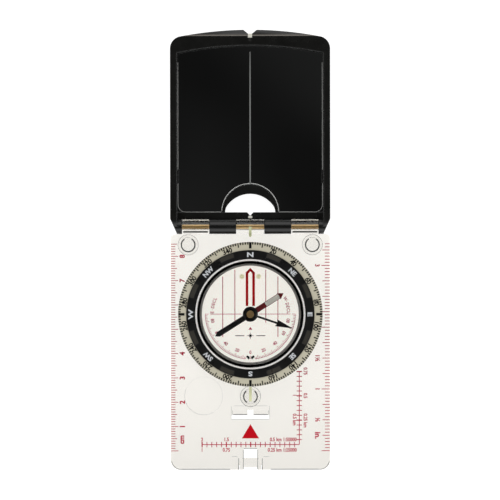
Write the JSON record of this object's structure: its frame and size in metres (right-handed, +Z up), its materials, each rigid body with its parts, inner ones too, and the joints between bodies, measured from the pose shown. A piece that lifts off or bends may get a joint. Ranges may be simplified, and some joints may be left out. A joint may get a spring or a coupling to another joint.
{
  "type": "sighting compass",
  "caption": "Mirror sighting compass: clear baseplate with map scales, turning liquid capsule with needle and clinometer, and a hinged mirror cover with a sight window.",
  "frame": {"origin": "centre of the footprint of the open compass, on the surface that it lies on", "axes": "+Z up through the lid-open compass, +Y from the baseplate toward the far end of the open cover, +X to the right for a reader at the front edge of the baseplate"},
  "size_m": [0.0656, 0.1806, 0.0138],
  "materials": {
    "clear_acrylic": "clear, polished",
    "clear_rubber": "translucent, soft",
    "lume_green": "luminous resin",
    "lume_cream": "luminous resin",
    "pin_brass": "drawn wire",
    "black_rubber": "moulded",
    "cover_black": "fine grained moulding",
    "mirror_silver": "back-silvered",
    "adhesive": "foam tape",
    "bead_white": "luminous resin",
    "bezel_black": "satin moulding",
    "capsule_clear": "clear, polished",
    "seal_silver": "moulded",
    "needle_red": "painted steel strip, red north and black south",
    "needle_black": "moulded",
    "magnet_grey": "sintered"
  },
  "bodies": {
    "base": {"baseplate": "clear_acrylic", "foot_left": "clear_rubber", "foot_right": "clear_rubber", "foot_rear": "clear_rubber", "index_line_front": "lume_green", "index_line_rear": "lume_green", "hinge_pin": "pin_brass", "bezel_friction_ring": "black_rubber"},
    "cover": {"cover_shell": "cover_black", "mirror_glass": "mirror_silver", "mirror_adhesive_pad": "adhesive", "front_sight_bead": "bead_white", "rear_sight_bead": "bead_white"},
    "bezel": {"bezel_ring": "bezel_black", "degree_ring": "lume_cream", "bezel_retaining_ring": "bezel_black", "capsule_base": "capsule_clear", "capsule_wall": "bezel_black", "crystal_seal_ring": "seal_silver", "capsule_crystal": "capsule_clear", "pivot_post": "pin_brass", "clinometer_collar": "pin_brass"},
    "orienting_disc": {"orienting_disc": "capsule_clear"},
    "declination_screw": {"declination_screw": "pin_brass"},
    "needle": {"needle_blade": "needle_red", "needle_lume_strip": "bead_white", "needle_cap": "needle_black", "needle_magnet": "magnet_grey", "needle_jewel": "pin_brass"},
    "clinometer": {"clinometer_pointer": "needle_black"}
  },
  "joints": [
    {"name": "cover_hinge", "type": "hinge", "parent": "base", "child": "cover", "pos_m": [0, 0.0096, 0.009], "axis": [1, 0, 0], "range_deg": [0, 180]},
    {"name": "bezel_turn", "type": "hinge", "parent": "base", "child": "bezel", "pos_m": [0, -0.0263, 0.004], "axis": [0, 0, 1], "continuous": true},
    {"name": "declination_adjust", "type": "hinge", "parent": "bezel", "child": "orienting_disc", "pos_m": [0, -0.0263, 0.00165], "axis": [0, 0, 1], "range_deg": [-90, 90]},
    {"name": "declination_screw_turn", "type": "hinge", "parent": "bezel", "child": "declination_screw", "pos_m": [0, -0.049, 0.00165], "axis": [0, 0, 1], "range_deg": [-1261, 1261]},
    {"name": "needle_swing", "type": "hinge", "parent": "bezel", "child": "needle", "pos_m": [0, -0.0263, 0.0073], "axis": [0, 0, 1], "continuous": true},
    {"name": "clinometer_swing", "type": "hinge", "parent": "bezel", "child": "clinometer", "pos_m": [0, -0.0263, 0.0039], "axis": [0, 0, 1], "continuous": true}
  ],
  "couplings": [
    {"joint": "declination_screw_turn", "follows": "declination_adjust", "ratio": -14}
  ]
}
